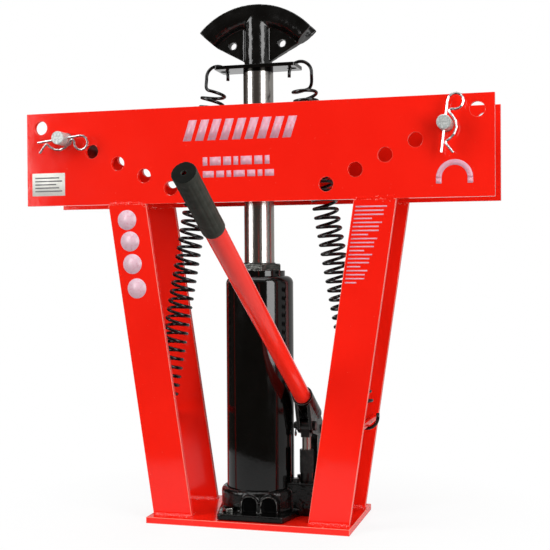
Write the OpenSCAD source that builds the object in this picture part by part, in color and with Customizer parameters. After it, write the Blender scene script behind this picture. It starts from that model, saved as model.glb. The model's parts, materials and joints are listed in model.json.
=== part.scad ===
// Hydraulic pipe bender. A welded frame of two drilled side plates on four flat legs holds a bottle jack.
// The jack pushes a grooved former up between two rollers, and two springs draw its ram back.
// X runs along the side plates, -Y is the front, and the origin is the middle of the base plate's underside.

/* [Frame] */
// Length of each side plate
plate_len = 600; // [570:1:760]
// Height of each side plate
plate_h = 120; // [116:1:160]
// Thickness of the side plates and legs
plate_t = 6; // [4:0.5:10]
// Clear space between the side plates
plate_gap = 94.4; // [84:0.2:120]
// Height of the side plates' lower edge above the floor
plate_rise = 401; // [380:1:440]
// How far the base plate stands out past the legs' feet
base_lip = 3.5; // [2:0.5:30]
// Depth of the base plate, front to back
base_w = 140; // [126:1:180]
// Thickness of the base plate
base_t = 8; // [5:0.5:12]
// Width of each leg, measured level
leg_w = 51.5; // [40:0.5:54]
// Clear space between the legs' feet and the jack's linkage
leg_clear = 1.1; // [0.5:0.1:6]
// Distance from the middle to a leg's inner edge at its head
leg_head_x = 133.8; // [120:0.2:150]

/* [Pin holes] */
// Number of pin holes in each slanting row
hole_count = 6; // [5:1:6]
// Distance from a plate's end to the last hole of a row
hole_end_in = 20; // [15:0.5:30]
// Step from hole to hole along the plate
hole_pitch_x = 36; // [30:0.5:37]
// Height of the first hole above the plate's lower edge
hole_first_up = 19; // [15:0.5:21]
// Step from hole to hole up the plate
hole_pitch_z = 16.5; // [12:0.1:16.8]
// Number of holes from the middle out to the one that carries a roller pin
pin_hole_count = 5; // [3:1:5]

/* [Rollers and pins] */
// Diameter of the roller pins
pin_d = 17; // [12:0.5:19]
// Radial play of a roller pin in its hole
pin_play = 0.5; // [0.2:0.1:0.9]
// How far a pin stands out in front of the front plate
pin_reach = 25; // [21:0.5:40]
// Diameter of a pin's head
pin_head_d = 26; // [24:0.5:34]
// Thickness of a pin's head
pin_head_t = 5; // [3:0.5:8]
// Diameter of a roller at its ends
roller_d = 46; // [40:0.5:52]
// Depth of the hollow round a roller's waist
roller_hollow = 4; // [1:0.5:6]
// Wire diameter of the retaining clips
clip_wire_d = 3; // [2:0.1:3.4]

/* [Return springs] */
// Wire diameter of the return springs
wire_d = 4.2; // [3:0.1:4.4]
// Mean diameter of the spring coils
coil_d = 29; // [24:0.2:30]
// Number of curls in each spring
curl_count = 35; // [30:1:38]
// Radius of the spring end hooks, to the middle of the wire
hook_r = 14.5; // [13.5:0.1:15]
// Diameter of the rods that hold the lower hooks
rod_d = 8; // [6:0.5:10]
// Height of the spring rods above the floor
rod_rise = 125; // [110:1:150]

/* [Jack body] */
// Stroke of the ram
ram_travel = 240; // [200:1:250]
// Diameter of the ram
ram_d = 38.4; // [34:0.2:40]
// Bore of the jack's cylinder
bore_d = 42; // [41:0.5:46]
// Wall of the jack's cylinder
cylinder_wall = 5; // [3:0.5:6]
// Outside diameter of the reservoir
reservoir_d = 86; // [76:0.5:92]
// Wall of the reservoir
reservoir_wall = 4; // [2:0.5:6]
// Height of the cast jack base
casting_h = 34; // [30:0.5:38]
// Wall of the cast collar round the reservoir
collar_wall = 7; // [6:0.25:10]
// Thickness of the base flange
flange_t = 8; // [5:0.5:10]
// Width of the base flange at its front and rear edges
flange_end_w = 86; // [80:1:92]
// How far the base flange stands out beside the collar, away from the pump
flange_side = 3; // [2:0.5:6]
// How far the base flange stands out beside the collar, under the pump
flange_pump_side = 10; // [6:0.5:14]
// How far the base flange stands out in front of the arched boss
flange_front = 11; // [8:0.5:13]
// Size of the gland nut across its flats
gland_flats = 51.5; // [46.5:0.5:52]

/* [Former] */
// Radius of the former's rim
former_r = 100; // [92:1:120]
// Half of the angle that the rim spans, in degrees
former_half_angle = 47; // [38:1:55]
// Width of the former's rim
rim_w = 36; // [32:0.5:44]
// Radius of the pipe groove in the rim
groove_r = 13.5; // [10:0.5:14]
// Thickness of the former's web
web_t = 12; // [8:0.5:16]
// Diameter of the former's boss
boss_d = 35; // [30:0.5:35.5]
// Height of the rim above the boss's foot
former_h = 75.5; // [70:0.5:90]
// Diameter of the spigot that holds the former on the ram
spigot_d = 20; // [14:0.5:22]
// Length of the spring plate
spring_plate_len = 106; // [104:0.5:116]
// Width of the spring plate
spring_plate_w = 40; // [34:1:60]
// Thickness of the spring plate
spring_plate_t = 4.5; // [3:0.5:6]

/* [Pump and handle] */
// Distance from the reservoir's wall to the middle of the pump
pump_stand = 17.5; // [17.5:0.25:22]
// Size of the pump cylinder across its flats
pump_flats = 17; // [16:0.5:19]
// Diameter of the pump cylinder's neck
pump_d = 16; // [15:0.5:16]
// Diameter of the pump plunger
plunger_d = 11; // [8:0.5:12]
// Height of the pump cylinder's top above the floor
pump_top = 89; // [86:1:92]
// Diameter of the pins in the pumping lever
lever_pin_d = 8; // [6:0.5:9]
// Distance from the plunger to the fulcrum behind it
lever_arm = 45; // [40:0.5:48]
// Slope of the handle above level, in degrees
handle_slope = 30.8; // [26:0.2:34]
// Outside diameter of the handle tube
handle_d = 21; // [16:0.5:21]
// Wall of the handle tube
handle_wall = 1.8; // [1:0.1:3]
// Length of the handle
handle_len = 520; // [400:5:560]
// Outside diameter of the handle socket
socket_d = 26; // [24.5:0.5:27]
// Length of the rubber grip
grip_len = 91; // [80:0.5:130]
// Outside diameter of the grip
grip_d = 23.4; // [22.5:0.1:30]

/* [Hidden] */
$fn = 48;

// Overrun of every cut past the face that it starts from
over = 1;
// Clearance between pieces that are pressed or screwed together
fit = 0.05;
// Radial clearance of running fits
run_fit = 0.1;
// Clearance between moving pieces that pass each other
pass = 0.4;

// Lever pieces that the frame stands clear of
pump_x = reservoir_d / 2 + pump_stand;
head_t = 11;
link_t = head_t;
ear_t = 5;
rivet_head_t = 2.5;

// Frame, worked out
leg_foot_x = pump_x + link_t / 2 + pass + ear_t + rivet_head_t + leg_clear;
base_len = 2 * (leg_foot_x + leg_w + base_lip);
hole_first_x = plate_len / 2 - hole_end_in - (hole_count - 1) * hole_pitch_x;
inner_y = plate_gap / 2;
outer_y = inner_y + plate_t;
function leg_x(z) = leg_foot_x + (leg_head_x - leg_foot_x) * (z - base_t) / (plate_rise - base_t);
function hole_at(place) = [
    hole_first_x + (place - 1) * hole_pitch_x,
    plate_rise + hole_first_up + (place - 1) * hole_pitch_z
];
hole_d = pin_d + 2 * pin_play;
pin_at = hole_at(pin_hole_count);

// Rollers and clips
roller_side_play = 0.4;
roller_rim = 8;
pin_chamfer = 1;
clip_stand = 12;
clip_leg = 60;
clip_pin_drop = 26;
clip_loop_r = 9.2;
clip_bend_r = 2.6;
clip_bulge_r = 18;
clip_neck = 4;
clip_return = 3.6;
clip_tail = 13;
clip_loop_turn = 270;
clip_neck_turn = 140;
clip_bulge_turn = 100;
clip_tail_turn = 95;
clip_hole_d = clip_wire_d + pass;
left_clip_angle = 7;
right_clip_angle = 83;

// Jack body, stacked up from the base plate
casting_top = base_t + casting_h;
collar_d = reservoir_d + 2 * collar_wall;
collar_fillet = 6;
tube_recess = 6;
gasket_t = 1.5;
gasket_w = 5;
cylinder_recess = 10;
cylinder_foot = casting_top - cylinder_recess;
cylinder_d = bore_d + 2 * cylinder_wall;
piston_len = 20;
piston_rest_gap = 7.5;
piston_stop_gap = 2;
gland_nose_len = 14;
gland_h = 9;
gland_foot = cylinder_foot + piston_rest_gap + ram_travel + piston_len + piston_stop_gap + gland_nose_len;
gland_top = gland_foot + gland_h;
gland_chamfer = 2;
gland_turn = 50;
head_ring_d = 65;
head_ring_h = 6.5;
head_shoulder_r = 9.5;
head_skirt = 11.5;
head_spigot = 12;
head_lip = 6;
head_top = gland_foot - head_ring_h;
tube_foot = casting_top - tube_recess + gasket_t;
tube_top = head_top - head_skirt;
cylinder_top = gland_foot;
wiper_h = 3;
wiper_w = 2.4;
wiper_lip = 1.2;
seal_h = 6;
seal_depth = 3;
ram_seat_gap = 7;
ram_shoulder = gland_top + ram_seat_gap + ram_travel;
ram_foot = gland_foot - gland_nose_len - piston_stop_gap - piston_len;
spigot_len = 40;
spigot_chamfer = 2;
spigot_play = 0.3;
flange_corner_r = 5;
arch_w = 19;
arch_h = 20;
arch_rib = 5.5;
arch_depth = 7;
arch_boss_out = 4;
arch_boss_depth = collar_d / 2 + arch_boss_out;
arch_boss_margin = 4;
arch_shift = 7;
arch_turn = 6;
flange_shift = 4;
flange_len = 2 * (arch_boss_depth + flange_front);
flange_reach = flange_len / 2 - flange_corner_r;
flange_left = flange_shift - flange_end_w / 2 + flange_corner_r;
flange_right = flange_shift + flange_end_w / 2 - flange_corner_r;
bolt_d = 8;
bolt_head_d = 14;
bolt_head_h = 5.5;
bolt_in_x = 12;
bolt_in_y = 14;
bolt_sides = [[-1, -1], [-1, 1], [1, 1]];
bolt_len = 6;
filler_stem_d = 9;
filler_head_d = 14;
filler_head_h = 4;
filler_drop = 62;

// Spring plate and former
plate_top = ram_shoulder + spring_plate_t;
plate_corner_r = 3;
hook_hole_d = 12;
hook_hole_in = 8.7;
former_centre = plate_top + former_h - former_r;
rim_round = rim_w / 2;
rim_lip = 9;
rim_root = former_r - rim_lip - rim_round;
web_hole_d = 9.5;
web_hole_in = 12.1;
web_hole_turn_share = 0.6864;
web_foot_up = 6;
groove_run_out = 2;
bore_spare = 2;

// Return springs
rod_inset = 4.9;
rod_x = leg_x(rod_rise) + leg_w - rod_inset;
hook_tail = 5;
hook_sink = 11;
hook_play = 1.2;
hook_span = sqrt(hook_r * hook_r - hook_sink * hook_sink);
hook_hole_x = spring_plate_len / 2 - hook_hole_in;
hook_inner_x = hook_hole_x + hook_hole_d / 2 - wire_d / 2 * hook_r / hook_span - hook_play;
hook_top_x = hook_inner_x + hook_span;
hook_top_z = plate_top - hook_sink;
hook_seat = hook_r - wire_d / 2 - rod_d / 2 - pass;
coil_lead = 4.5;
coil_drop = 19;
coil_back = 8.5;
coil_rise = 15;
spring_top = [hook_top_x + coil_lead, hook_top_z - coil_drop];
spring_foot = [rod_x - coil_back, rod_rise + hook_seat + coil_rise];
spring_axis = spring_foot - spring_top;
spring_along = spring_axis / norm(spring_axis);
spring_across = [-spring_along[1], spring_along[0]];
hook_low = [rod_x, rod_rise] - hook_seat * spring_along;
coil_start_turn = 90;
blend_steps = 5;
rings_per_curl = 8;
wire_sides = 6;
hook_step = 22.5;
bend_step = 30;
bent_sides = 8;

// Pump, lever and handle
block_w = 38;
block_end = 24;
block_h = 41;
block_corner_r = 6;
block_top = base_t + block_h;
pump_seat = 16;
pump_foot = block_top - pump_seat;
pump_floor = 2;
pump_chamfer = 1;
pump_neck = 11;
pump_turn = 47;
plunger_foot = 52;
plunger_neck_up = 16;
head_foot = pump_top + plunger_neck_up;
pin_up = 14;
plunger_pin_z = head_foot + pin_up;
head_r = 8.5;
head_half_w = 7;
ring_up = 4;
ring_r = 1.2;
fulcrum_drop = 11;
fulcrum_z = plunger_pin_z - fulcrum_drop;
link_pin_up = 26;
link_pin_z = base_t + link_pin_up;
link_eye_r = 8;
ear_r = 9;
ear_foot_h = 10;
cheek_t = 4;
cheek_r = 9.5;
cheek_in = head_t / 2 + pass;
cheek_out = cheek_in + cheek_t;
rivet_head_d = 12;
slot_reach = 2.4;
slot_lift = 1.4;
washer_t = 1.6;
washer_d = 13;
cotter_d = 1.8;
cotter_eye_r = 2.6;
cotter_leg = 10;
cotter_in = 1.9;
axis_up = 28.6;
axis_z = plunger_pin_z + axis_up;
socket_mouth = 24;
socket_back = 34;
socket_floor = 14;
handle_from = socket_floor - socket_back;
grip_cap = 2.5;
grip_hole_d = 5;
grip_fit = 0.1;
flute_count = 12;
flute_r = 4;
flute_depth = 0.4;
flute_end = 6;
plug_head_d = 9;
plug_head_h = 5;
plug_stem_d = 6;
plug_stem = 8;
plug_y = 12;
plug_in = 11;
ball_d = 5;
valve_depth = 22;
valve_up = 18;
valve_z = base_t + valve_up;
release_stem_d = 10;
release_stem = 12;
release_knob_d = 20;
release_knob_h = 12;
release_slot_w = 3;
release_slot_depth = 3;
release_ring_r = 1.2;
release_nose = 3;

// Plane outlines round a list of centres, counter-clockwise, with one corner radius
function side_normal(a, b) = let (d = (b - a) / norm(b - a)) [d[1], -d[0]];
function pad_points(c, r) = [
    for (i = [0:len(c) - 1], j = [-1, 0])
        let (n = len(c), a = c[(i + j + n) % n], b = c[(i + j + 1) % n])
        c[i] + r * side_normal(a, b)
];
module pad(c, r) {
    polygon(pad_points(c, r));
    for (p = c) translate(p) circle(r);
}
function box_centres(w, l, r) = [
    [-w / 2 + r, -l / 2 + r], [w / 2 - r, -l / 2 + r], [w / 2 - r, l / 2 - r], [-w / 2 + r, l / 2 - r]
];

// Stands a plane outline up in the XZ plane, from y towards the back
module upright(y, t) {
    translate([0, y + t, 0]) rotate([90, 0, 0]) linear_extrude(t) children();
}
// Stands a plane outline up in the YZ plane, from x towards the right
module sideways(x, t) {
    translate([x, 0, 0]) rotate([90, 0, 90]) linear_extrude(t) children();
}
// Round bar along X or along Y, from its middle
module bar_x(d, l) {
    rotate([0, 90, 0]) cylinder(d = d, h = l, center = true);
}
module bar_y(d, l) {
    rotate([90, 0, 0]) cylinder(d = d, h = l, center = true);
}
// Ring of a square section
module ring(outer_d, inner_d, h) {
    difference() {
        cylinder(d = outer_d, h = h);
        translate([0, 0, -over]) cylinder(d = inner_d, h = h + 2 * over);
    }
}
// Six-sided nut or bar, with its upper corners chamfered
module hexagon(flats, h, chamfer) {
    corners = flats / cos(30);
    intersection() {
        cylinder(d = corners, h = h, $fn = 6);
        union() {
            cylinder(d = corners, h = h - chamfer);
            translate([0, 0, h - chamfer]) cylinder(d1 = corners, d2 = flats, h = chamfer);
        }
    }
}
// Wire swept along points, with flat ends
function unit(v) = v / norm(v);
function headings(p) = let (last = len(p) - 1)
    [for (i = [0:last]) unit(p[min(i + 1, last)] - p[max(i - 1, 0)])];
function squared(n, t) = unit(n - (n * t) * t);
function sides(t) = let (last = len(t) - 1, first = abs(t[0][2]) < 0.5 ? [0, 0, 1] : [1, 0, 0]) [
    for (i = 0, n = squared(first, t[0]); i <= last; i = i + 1, n = squared(n, t[min(i, last)])) n
];
module wire(p, d, count) {
    t = headings(p);
    n = sides(t);
    last = len(p) - 1;
    far = last * count;
    points = [
        for (i = [0:last], k = [0:count - 1])
            let (a = 360 * k / count)
            p[i] + d / 2 * (cos(a) * n[i] + sin(a) * cross(t[i], n[i]))
    ];
    walls = [
        for (i = [0:last - 1], k = [0:count - 1], half = [0, 1])
            let (a = i * count + k, b = i * count + (k + 1) % count)
            half == 0 ? [a, a + count, b + count] : [a, b + count, b]
    ];
    ends = [
        for (k = [1:count - 2], end = [0, 1])
            end == 0 ? [0, k, k + 1] : [far, far + k + 1, far + k]
    ];
    polyhedron(points, concat(walls, ends));
}
// Points of a wire bent in one plane: each step is a straight length, then a bend of some radius and angle
function bent(steps, i = 0, p = [0, 0], h = 0) = i == len(steps) ? [p] : let (
        r = steps[i][1],
        turn = steps[i][2],
        side = sign(turn),
        q = p + steps[i][0] * [cos(h), sin(h)],
        c = q + side * r * [-sin(h), cos(h)],
        n = ceil(abs(turn) / bend_step),
        bend = [for (k = [0:n]) let (a = h + turn * k / max(n, 1)) c + side * r * [sin(a), -cos(a)]]
    )
    concat([p], [for (k = [0:n - 1]) bend[k]], bent(steps, i + 1, bend[n], h + turn));
module bent_wire(d, steps) {
    wire([for (p = bent(steps)) [p[0], p[1], 0]], d, bent_sides);
}

// Frame
module base_plate() {
    color("red") translate([-base_len / 2, -base_w / 2, 0]) cube([base_len, base_w, base_t]);
}
module side_plate(y) {
    color("red") upright(y, plate_t) difference() {
        translate([-plate_len / 2, plate_rise]) square([plate_len, plate_h]);
        for (side = [-1, 1], place = [1:hole_count])
            translate([side * hole_at(place)[0], hole_at(place)[1]]) circle(d = hole_d);
    }
}
module front_side_plate() { side_plate(-outer_y); }
module rear_side_plate() { side_plate(inner_y); }
module leg(side, y) {
    color("red") upright(y, plate_t) scale([side, 1]) polygon([
        [leg_foot_x, base_t], [leg_foot_x + leg_w, base_t],
        [leg_head_x + leg_w, plate_rise], [leg_head_x, plate_rise]
    ]);
}
module front_left_leg() { leg(-1, -outer_y); }
module front_right_leg() { leg(1, -outer_y); }
module rear_left_leg() { leg(-1, inner_y); }
module rear_right_leg() { leg(1, inner_y); }
module spring_rod(side) {
    color("red") translate([side * rod_x, 0, rod_rise]) bar_y(rod_d, plate_gap);
}
module left_spring_rod() { spring_rod(-1); }
module right_spring_rod() { spring_rod(1); }

// Return springs: one unbroken wire from the tip of the upper hook to the tip of the lower one
function flat(p) = [p[0], 0, p[1]];
function arc(c, from, to) = [
    for (i = [0:round(abs(to - from) / hook_step)])
        let (a = from + sign(to - from) * i * hook_step)
        flat(c + hook_r * [cos(a), sin(a)])
];
function blend(a, ta, b, tb) = [
    for (i = [1:blend_steps - 1])
        let (t = i / blend_steps, s = 1 - t)
        s * s * (1 + 2 * t) * a + t * t * (1 + 2 * s) * b + s * s * t * ta - t * t * s * tb
];
function coil_point(t) = let (a = coil_start_turn + 360 * curl_count * t)
    flat(spring_top + t * spring_axis)
        + coil_d / 2 * (cos(a) * flat(spring_across) + sin(a) * [0, 1, 0]);
coil_rings = curl_count * rings_per_curl;
coil_points = [for (i = [0:coil_rings]) coil_point(i / coil_rings)];
upper_hook = concat(
    [flat([hook_top_x - hook_r, hook_top_z - hook_tail])], arc([hook_top_x, hook_top_z], 180, 0)
);
lower_hook = concat(
    arc(hook_low, 180, 360), [flat(hook_low + [hook_r, hook_tail])]
);
lead_in = norm(coil_points[0] - upper_hook[len(upper_hook) - 1]);
lead_out = norm(lower_hook[0] - coil_points[coil_rings]);
spring_path = concat(
    upper_hook,
    blend(upper_hook[len(upper_hook) - 1], [0, 0, -lead_in], coil_points[0], -lead_in * flat(spring_across)),
    coil_points,
    blend(coil_points[coil_rings], -lead_out * flat(spring_across), lower_hook[0], [0, 0, -lead_out]),
    lower_hook
);
// Least gap between stretches of the wire that lie more than half a curl apart
wire_apart = rings_per_curl - 2;
spring_gap = min([
    for (i = [0:len(spring_path) - 1 - wire_apart], j = [i + wire_apart:len(spring_path) - 1])
        norm(spring_path[i] - spring_path[j])
]) - wire_d;
module return_spring(turn) {
    color("black") rotate(turn) wire(spring_path, wire_d, wire_sides);
}
module left_return_spring() { return_spring(180); }
module right_return_spring() {
    echo(least_gap_of_spring_to_itself = spring_gap);
    return_spring(0);
}

// Jack base: flange, collar, front boss with two arched pockets, pump block and the link's ears
module collar_profile() {
    square([collar_d / 2 - collar_fillet, casting_h]);
    square([collar_d / 2, casting_h - collar_fillet]);
    translate([collar_d / 2 - collar_fillet, casting_h - collar_fillet]) circle(collar_fillet);
}
module arch(w, h) {
    translate([-w / 2, 0]) square([w, h - w / 2]);
    translate([0, h - w / 2]) circle(d = w);
}
arch_x = (arch_w + arch_rib) / 2;
arch_foot = base_t + flange_t;
module arch_boss() {
    rotate(arch_turn) upright(-arch_boss_depth, arch_boss_depth) for (side = [-1, 1])
        translate([arch_shift + side * arch_x, base_t])
            arch(arch_w + arch_boss_margin, arch_h + flange_t + arch_boss_margin / 2);
}
module arch_pockets() {
    rotate(arch_turn) upright(-arch_boss_depth - over, arch_depth + over) for (side = [-1, 1])
        translate([arch_shift + side * arch_x, arch_foot]) arch(arch_w, arch_h);
}
module link_ears() {
    for (side = [-1, 1])
        sideways(pump_x + side * (link_t / 2 + pass + ear_t / 2) - ear_t / 2, ear_t) {
            translate([lever_arm - ear_r, base_t]) square([2 * ear_r, link_pin_z - base_t]);
            translate([lever_arm, link_pin_z]) circle(ear_r);
        }
    ear_span = link_t + 2 * pass + 2 * ear_t;
    translate([pump_x - ear_span / 2, 0, base_t]) cube([ear_span, lever_arm + ear_r, ear_foot_h]);
}
// The boss takes the room of a bolt at the flange's front right corner
module bolt_places() {
    for (side = bolt_sides)
        translate([
            flange_shift + side[0] * (flange_end_w / 2 - bolt_in_x),
            side[1] * (flange_len / 2 - bolt_in_y),
            0
        ]) children();
}
module plug_places() {
    for (y = [-1, 1]) translate([pump_x - plug_in, y * plug_y, 0]) children();
}
module jack_base() {
    color("black") difference() {
        union() {
            translate([0, 0, base_t]) linear_extrude(flange_t) pad([
                [flange_left, -flange_reach],
                [flange_right, -flange_reach],
                [collar_d / 2 + flange_pump_side - flange_corner_r, 0],
                [flange_right, flange_reach],
                [flange_left, flange_reach],
                [-collar_d / 2 - flange_side + flange_corner_r, 0]
            ], flange_corner_r);
            translate([0, 0, base_t]) rotate_extrude() collar_profile();
            arch_boss();
            translate([(pump_x + block_end) / 2, 0, base_t]) linear_extrude(block_h)
                pad(box_centres(pump_x + block_end, block_w, block_corner_r), block_corner_r);
            link_ears();
        }
        translate([0, 0, casting_top - tube_recess]) cylinder(d = reservoir_d + 2 * fit, h = block_h);
        translate([0, 0, cylinder_foot]) cylinder(d = cylinder_d + 2 * fit, h = block_h);
        arch_pockets();
        bolt_places() cylinder(d = bolt_d + 2 * fit, h = arch_foot + over);
        translate([pump_x, 0, pump_foot]) cylinder(d = pump_d + 2 * fit, h = pump_seat + over);
        translate([pump_x, lever_arm, link_pin_z]) bar_x(lever_pin_d + 2 * fit, block_w);
        plug_places() translate([0, 0, block_top - valve_depth])
            cylinder(d = plug_stem_d + 2 * fit, h = valve_depth + over);
        translate([pump_x + block_end - release_stem - release_nose, 0, valve_z]) rotate([0, 90, 0])
            cylinder(d = release_stem_d + 2 * run_fit, h = block_end);
    }
}
module jack_bolts() {
    color("dimgray") bolt_places() {
        translate([0, 0, arch_foot]) rotate(30) cylinder(d = bolt_head_d, h = bolt_head_h, $fn = 6);
        translate([0, 0, arch_foot - bolt_len]) cylinder(d = bolt_d, h = bolt_len);
    }
}

// Reservoir, cylinder, head and gland
module reservoir_gasket() {
    color("dimgray") translate([0, 0, casting_top - tube_recess])
        ring(reservoir_d, reservoir_d - 2 * gasket_w, gasket_t);
}
filler_z = tube_top - filler_drop;
module reservoir_tube() {
    color("black") difference() {
        translate([0, 0, tube_foot])
            ring(reservoir_d, reservoir_d - 2 * reservoir_wall, tube_top - tube_foot);
        translate([0, reservoir_d / 2, filler_z]) bar_y(filler_stem_d + 2 * fit, 4 * reservoir_wall);
    }
}
module oil_filler_plug() {
    flat_y = reservoir_d / 2;
    color("dimgray") translate([0, flat_y, filler_z]) rotate([-90, 0, 0]) {
        translate([0, 0, -reservoir_wall]) cylinder(d = filler_stem_d, h = reservoir_wall);
        cylinder(d = filler_head_d, h = filler_head_h / 2);
        translate([0, 0, filler_head_h / 2])
            cylinder(d1 = filler_head_d, d2 = filler_stem_d, h = filler_head_h / 2);
    }
}
module cylinder_tube() {
    color("silver") translate([0, 0, cylinder_foot]) ring(cylinder_d, bore_d, cylinder_top - cylinder_foot);
}
module jack_head() {
    spigot_r = reservoir_d / 2 - reservoir_wall - fit;
    color("black") rotate_extrude() difference() {
        union() {
            translate([0, tube_top]) square([reservoir_d / 2, head_skirt - head_shoulder_r]);
            translate([0, tube_top]) square([reservoir_d / 2 - head_shoulder_r, head_skirt]);
            translate([reservoir_d / 2 - head_shoulder_r, head_top - head_shoulder_r])
                intersection() {
                    circle(head_shoulder_r);
                    square(head_shoulder_r);
                }
            translate([0, head_top]) square([head_ring_d / 2, head_ring_h]);
            translate([0, tube_top - head_spigot]) square([spigot_r, head_spigot]);
        }
        translate([0, tube_top - head_spigot - over])
            square([cylinder_d / 2 + fit, gland_foot - tube_top + head_spigot + 2 * over]);
        translate([0, tube_top - head_spigot - over]) square([spigot_r - head_lip, head_spigot + over]);
    }
}
module gland_nut() {
    color("dimgray") difference() {
        union() {
            translate([0, 0, gland_foot]) rotate(gland_turn) hexagon(gland_flats, gland_h, gland_chamfer);
            translate([0, 0, gland_foot]) cylinder(d = cylinder_d, h = gland_chamfer);
            translate([0, 0, gland_foot - gland_nose_len]) cylinder(d = bore_d - 2 * fit, h = gland_nose_len);
        }
        translate([0, 0, gland_foot - gland_nose_len - over])
            cylinder(d = ram_d + 2 * run_fit, h = gland_nose_len + gland_h + 2 * over);
        translate([0, 0, gland_top - wiper_h])
            cylinder(d = ram_d + 2 * wiper_w, h = wiper_h + over);
    }
}
module ram_wiper_seal() {
    color("dimgray") translate([0, 0, gland_top - wiper_h]) {
        ring(ram_d + 2 * wiper_w - 2 * fit, ram_d + 2 * run_fit, wiper_h);
        translate([0, 0, wiper_h]) ring(ram_d + wiper_w, ram_d + 2 * run_fit, wiper_lip);
    }
}

// Ram with its piston and spigot
module ram() {
    seal_z = ram_foot + (piston_len - seal_h) / 2;
    color("gainsboro") {
        translate([0, 0, ram_foot]) difference() {
            cylinder(d = bore_d - 2 * run_fit, h = piston_len);
            translate([0, 0, seal_z - ram_foot]) ring(bore_d + over, bore_d - 2 * seal_depth, seal_h);
        }
        translate([0, 0, ram_foot]) cylinder(d = ram_d - 2 * seal_depth, h = piston_len);
        translate([0, 0, ram_foot + piston_len])
            cylinder(d = ram_d, h = ram_shoulder - ram_foot - piston_len);
        translate([0, 0, ram_shoulder])
            cylinder(d = spigot_d, h = spring_plate_t + spigot_len - spigot_chamfer);
        translate([0, 0, plate_top + spigot_len - spigot_chamfer])
            cylinder(d1 = spigot_d, d2 = spigot_d - 2 * spigot_chamfer, h = spigot_chamfer);
    }
}
module piston_seal() {
    color("dimgray") translate([0, 0, ram_foot + (piston_len - seal_h) / 2 + fit])
        ring(bore_d - 2 * run_fit, bore_d - 2 * seal_depth + 2 * fit, seal_h - 2 * fit);
}
module spring_plate() {
    color("black") translate([0, 0, ram_shoulder]) linear_extrude(spring_plate_t) difference() {
        pad(box_centres(spring_plate_len, spring_plate_w, plate_corner_r), plate_corner_r);
        circle(d = spigot_d + 2 * fit);
        for (side = [-1, 1])
            translate([side * hook_hole_x, 0]) circle(d = hook_hole_d);
    }
}

// Bending former: a grooved rim on a web and a bored boss
module rim_section() {
    translate([former_r - rim_lip, -rim_round]) square([rim_lip, rim_w]);
    translate([former_r - rim_lip, 0]) intersection() {
        circle(rim_round);
        translate([-rim_round, -rim_round]) square([rim_round, rim_w]);
    }
}
// Sweeps a section round the former's middle, up to an angle on each side
module rim_sweep(half_angle) {
    translate([0, 0, former_centre]) rotate([90, 0, 0]) rotate(90 - half_angle)
        rotate_extrude(angle = 2 * half_angle) children();
}
function rim_point(r, a) = [r * sin(a), former_centre + r * cos(a)];
module bending_former() {
    web_reach = rim_root + rim_lip / 2;
    color("black") difference() {
        union() {
            rim_sweep(former_half_angle) rim_section();
            upright(-web_t / 2, web_t) intersection() {
                translate([0, former_centre]) circle(web_reach);
                polygon([
                    [-boss_d / 2, plate_top + web_foot_up], [boss_d / 2, plate_top + web_foot_up],
                    rim_point(rim_root, former_half_angle), rim_point(2 * former_r, former_half_angle),
                    rim_point(2 * former_r, -former_half_angle), rim_point(rim_root, -former_half_angle)
                ]);
            }
            translate([0, 0, plate_top])
                cylinder(d = boss_d, h = former_centre + former_r - rim_lip - plate_top);
        }
        rim_sweep(former_half_angle + groove_run_out) translate([former_r, 0]) circle(groove_r);
        translate([0, 0, plate_top - over])
            cylinder(d = spigot_d + 2 * spigot_play, h = spigot_len + bore_spare + over);
        web_hole = rim_point(rim_root - web_hole_in, web_hole_turn_share * former_half_angle);
        for (side = [-1, 1])
            translate([side * web_hole[0], 0, web_hole[1]]) bar_y(web_hole_d, web_t + 2 * over);
    }
}

// Pump
module pump_cylinder() {
    color("black") translate([pump_x, 0, pump_foot]) difference() {
        union() {
            cylinder(d = pump_d, h = pump_top - pump_foot - pump_chamfer);
            translate([0, 0, pump_seat + pump_neck]) rotate(pump_turn)
                hexagon(pump_flats, pump_top - block_top - pump_neck, pump_chamfer);
        }
        translate([0, 0, pump_floor]) cylinder(d = plunger_d + 2 * run_fit, h = pump_top - pump_foot);
    }
}
module pump_plunger() {
    color("gainsboro") difference() {
        union() {
            translate([pump_x, 0, plunger_foot]) cylinder(d = plunger_d, h = plunger_pin_z - plunger_foot);
            sideways(pump_x - head_t / 2, head_t) {
                translate([-head_half_w, head_foot]) square([2 * head_half_w, plunger_pin_z - head_foot]);
                translate([0, plunger_pin_z]) circle(head_r);
            }
        }
        translate([pump_x, 0, plunger_pin_z]) bar_x(lever_pin_d + 2 * fit, pump_d);
        translate([pump_x, 0, plunger_foot + ring_up - ring_r])
            ring(plunger_d + over, plunger_d - 2 * ring_r, 2 * ring_r);
    }
}
module plunger_seal() {
    color("dimgray") translate([pump_x, 0, plunger_foot + ring_up - ring_r + fit])
        ring(plunger_d, plunger_d - 2 * ring_r + 2 * fit, 2 * ring_r - 2 * fit);
}
module valve_ball(y) {
    color("silver") translate([pump_x - plug_in, y, block_top - valve_depth + ball_d / 2]) sphere(d = ball_d);
}
module suction_ball() { valve_ball(plug_y); }
module delivery_ball() { valve_ball(-plug_y); }
module valve_plugs() {
    color("dimgray") plug_places() {
        translate([0, 0, block_top - plug_stem]) cylinder(d = plug_stem_d, h = plug_stem);
        translate([0, 0, block_top]) cylinder(d = plug_head_d, h = plug_head_h, $fn = 6);
    }
}
block_face = pump_x + block_end;
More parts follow.
